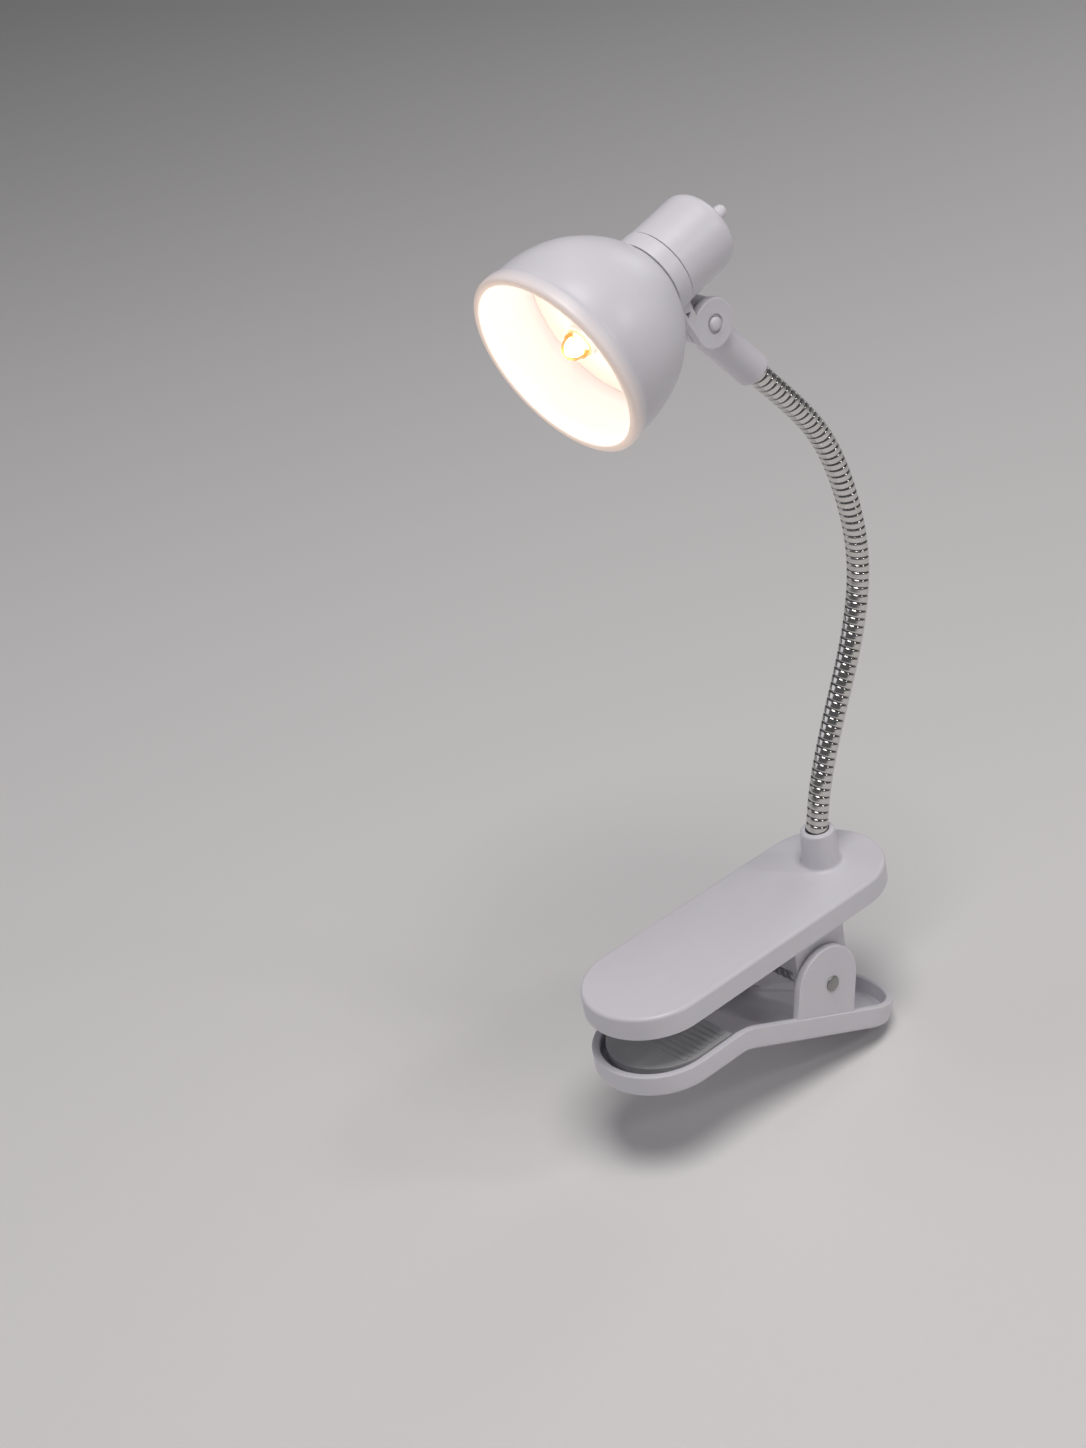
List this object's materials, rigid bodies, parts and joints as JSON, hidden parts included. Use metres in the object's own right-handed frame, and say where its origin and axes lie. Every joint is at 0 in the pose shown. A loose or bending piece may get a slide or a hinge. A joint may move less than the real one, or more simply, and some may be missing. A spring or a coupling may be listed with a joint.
{
  "type": "clip on reading lamp",
  "caption": "Small battery reading lamp: round shade on a bending gooseneck, rising from a sprung clip with two padded jaws.",
  "frame": {"origin": "centre of the upper jaw pad's flat gripping face", "axes": "+Z square to the clip plate and up the neck, -Y toward the nose of the plate, X along the clip's pivot"},
  "size_m": [0.0428, 0.097, 0.2105],
  "materials": {
    "white_shell": "satin moulded ABS, cool white",
    "white_inner": "matt white moulding",
    "pad_rubber": "soft pale grey rubber",
    "pin_steel": "plain steel",
    "spring_steel": "drawn spring wire",
    "neck_chrome": "polished plating on a wound metal hose",
    "led_resin": "clear warm resin, lit",
    "board_green": "green solder mask",
    "contact_nickel": "nickel plated",
    "cell_steel": "bright rolled steel can",
    "resistor_body": "tan lacquer",
    "switch_black": "black moulding"
  },
  "bodies": {
    "clip_base": {"upper_plate": "white_shell", "upper_bracket": "white_shell", "bracket_screw_1": "pin_steel", "bracket_screw_2": "pin_steel", "bracket_screw_3": "pin_steel", "bracket_screw_4": "pin_steel", "upper_pad": "pad_rubber", "neck_root_ferrule": "contact_nickel", "neck_nut": "contact_nickel", "gooseneck_01": "neck_chrome", "torsion_spring": "spring_steel"},
    "lower_jaw_body": {"lower_jaw": "white_shell", "lower_pad": "pad_rubber", "pivot_pin": "pin_steel", "pin_clip": "spring_steel"},
    "neck_2": {"gooseneck_02": "neck_chrome"},
    "neck_3": {"gooseneck_03": "neck_chrome"},
    "neck_4": {"gooseneck_04": "neck_chrome"},
    "neck_5": {"gooseneck_05": "neck_chrome"},
    "neck_6": {"gooseneck_06": "neck_chrome"},
    "neck_7": {"gooseneck_07": "neck_chrome"},
    "neck_8": {"gooseneck_08": "neck_chrome"},
    "neck_9": {"gooseneck_09": "neck_chrome"},
    "neck_10": {"gooseneck_10": "neck_chrome", "neck_top_ferrule": "contact_nickel", "neck_connector": "white_shell", "friction_washer_far": "contact_nickel", "friction_washer_near": "contact_nickel"},
    "head": {"head_collar": "white_shell", "shade": "white_shell", "reflector": "white_inner", "led": "led_resin", "led_lead_plus": "contact_nickel", "led_lead_minus": "contact_nickel", "led_board": "board_green", "resistor": "resistor_body", "front_contact": "contact_nickel", "battery_sleeve": "white_inner", "button_cell_1": "cell_steel", "button_cell_2": "cell_steel", "button_cell_3": "cell_steel", "contact_spring": "contact_nickel", "knuckle_rivet": "white_shell", "knuckle_nut": "contact_nickel"},
    "cap": {"battery_cap": "white_shell", "rear_contact": "contact_nickel", "switch_body": "switch_black"},
    "button": {"switch_button": "white_shell"}
  },
  "joints": [
    {"name": "jaw_hinge", "type": "hinge", "parent": "clip_base", "child": "lower_jaw_body", "pos_m": [0, 0.0391, -0.0133], "axis": [1, 0, 0], "range_deg": [-9.5, 28], "stiffness_Nm_per_rad": 0.2, "springref_deg": -57.3, "deforming": ["torsion_spring"]},
    {"name": "neck_bend_1", "type": "hinge", "parent": "clip_base", "child": "neck_2", "pos_m": [0, 0.05571, 0.0211], "axis": [1, 0, 0], "range_deg": [-12, 12]},
    {"name": "neck_sway_2", "type": "hinge", "parent": "neck_2", "child": "neck_3", "pos_m": [0, 0.06091, 0.03392], "axis": [0, 0.8956, -0.4448], "range_deg": [-10, 10]},
    {"name": "neck_bend_3", "type": "hinge", "parent": "neck_3", "child": "neck_4", "pos_m": [0, 0.06745, 0.04613], "axis": [1, 0, 0], "range_deg": [-12, 12]},
    {"name": "neck_sway_4", "type": "hinge", "parent": "neck_4", "child": "neck_5", "pos_m": [0, 0.0736, 0.05853], "axis": [0, 0.9246, -0.381], "range_deg": [-10, 10]},
    {"name": "neck_bend_5", "type": "hinge", "parent": "neck_5", "child": "neck_6", "pos_m": [0, 0.07744, 0.0718], "axis": [1, 0, 0], "range_deg": [-12, 12]},
    {"name": "neck_sway_6", "type": "hinge", "parent": "neck_6", "child": "neck_7", "pos_m": [0, 0.07747, 0.08561], "axis": [0, 0.9928, 0.1196], "range_deg": [-10, 10]},
    {"name": "neck_bend_7", "type": "hinge", "parent": "neck_7", "child": "neck_8", "pos_m": [0, 0.07458, 0.09914], "axis": [1, 0, 0], "range_deg": [-12, 12]},
    {"name": "neck_sway_8", "type": "hinge", "parent": "neck_8", "child": "neck_9", "pos_m": [0, 0.06865, 0.1116], "axis": [0, 0.835, 0.5503], "range_deg": [-10, 10]},
    {"name": "neck_bend_9", "type": "hinge", "parent": "neck_9", "child": "neck_10", "pos_m": [0, 0.06017, 0.12254], "axis": [1, 0, 0], "range_deg": [-12, 12]},
    {"name": "head_tilt", "type": "hinge", "parent": "neck_10", "child": "head", "pos_m": [0, 0.04128, 0.14546], "axis": [1, 0, 0], "range_deg": [-35, 40]},
    {"name": "cap_twist", "type": "hinge", "parent": "head", "child": "cap", "pos_m": [0, 0.04834, 0.16297], "axis": [0, 0.9568, 0.2907], "range_deg": [0, 30]},
    {"name": "button_press", "type": "slide", "parent": "cap", "child": "button", "axis": [0, -0.9568, -0.2907], "range_m": [0, 0.0012], "stiffness_N_per_m": 300, "springref_m": -0.001}
  ],
  "couplings": [
    {"joint": "neck_bend_3", "follows": "neck_bend_1", "ratio": 1},
    {"joint": "neck_bend_7", "follows": "neck_bend_5", "ratio": 1},
    {"joint": "neck_bend_9", "follows": "neck_bend_5", "ratio": 1},
    {"joint": "neck_sway_4", "follows": "neck_sway_2", "ratio": 1},
    {"joint": "neck_sway_6", "follows": "neck_sway_2", "ratio": 1},
    {"joint": "neck_sway_8", "follows": "neck_sway_2", "ratio": 1}
  ]
}
